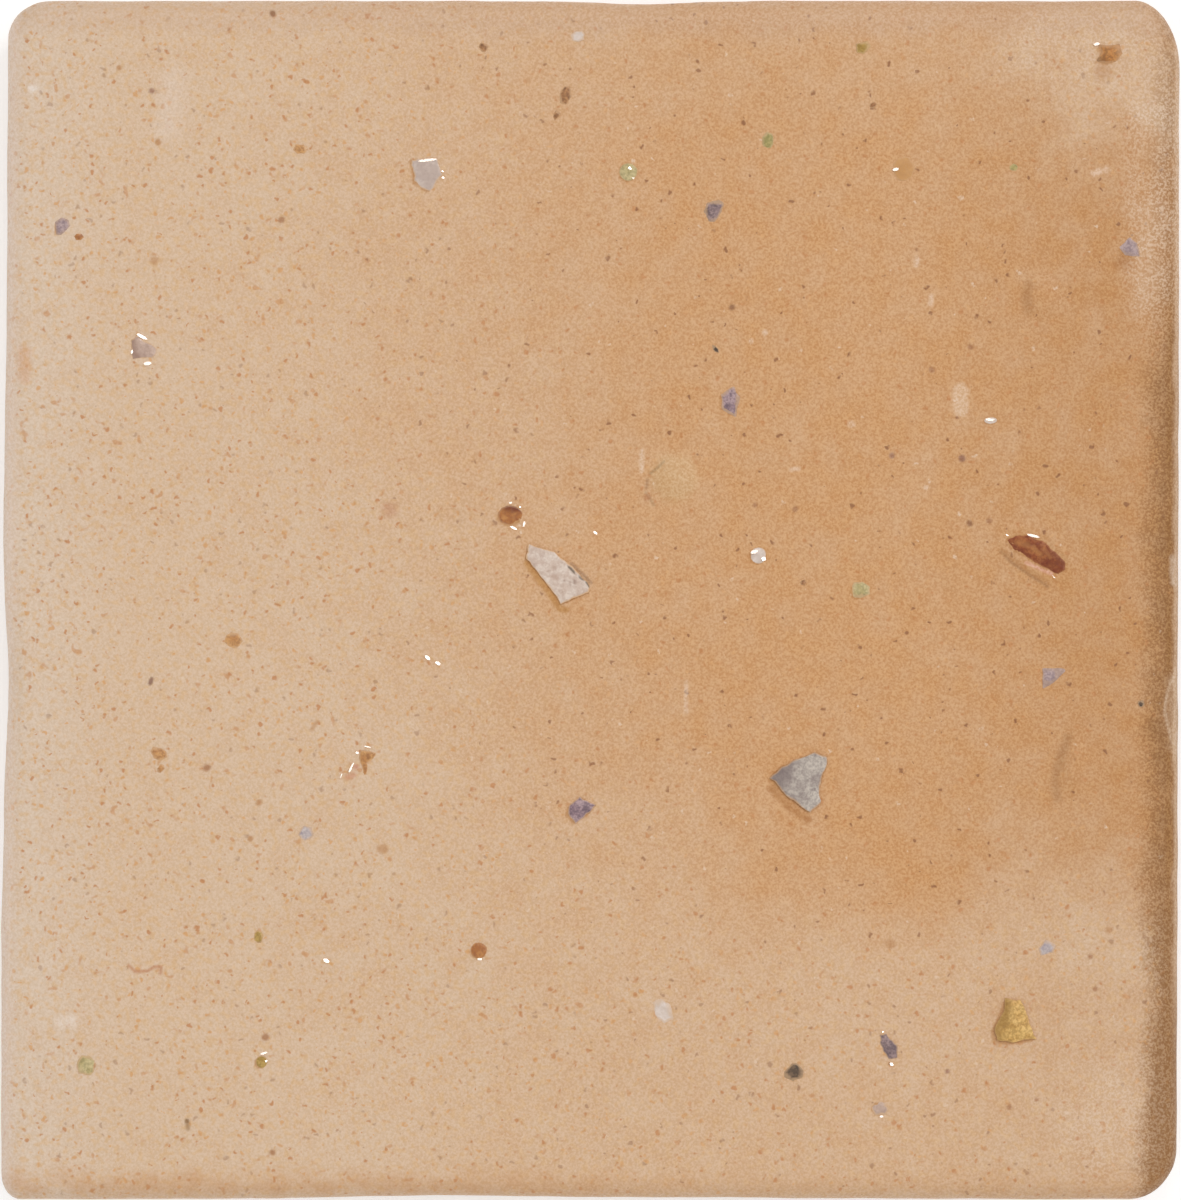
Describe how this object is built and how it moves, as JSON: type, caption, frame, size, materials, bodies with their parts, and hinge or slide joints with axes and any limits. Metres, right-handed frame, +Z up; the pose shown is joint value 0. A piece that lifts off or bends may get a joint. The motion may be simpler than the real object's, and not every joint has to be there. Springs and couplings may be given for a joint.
{
  "type": "field tile",
  "caption": "Square hand-pressed terracotta field tile with a cushioned wavy face, rolled edges, rounded corners, a flat bed and stone chips fired into the clay.",
  "frame": {"origin": "centre of the flat bed, under the middle of the tile's outline", "axes": "+Z up out of the face, +X to the right and +Y to the back of the face as it is seen from above"},
  "size_m": [0.1495, 0.152, 0.0166],
  "materials": {
    "terracotta": "sandy, sealed, part glossy"
  },
  "bodies": {
    "root": {"tile": "terracotta"}
  },
  "joints": []
}
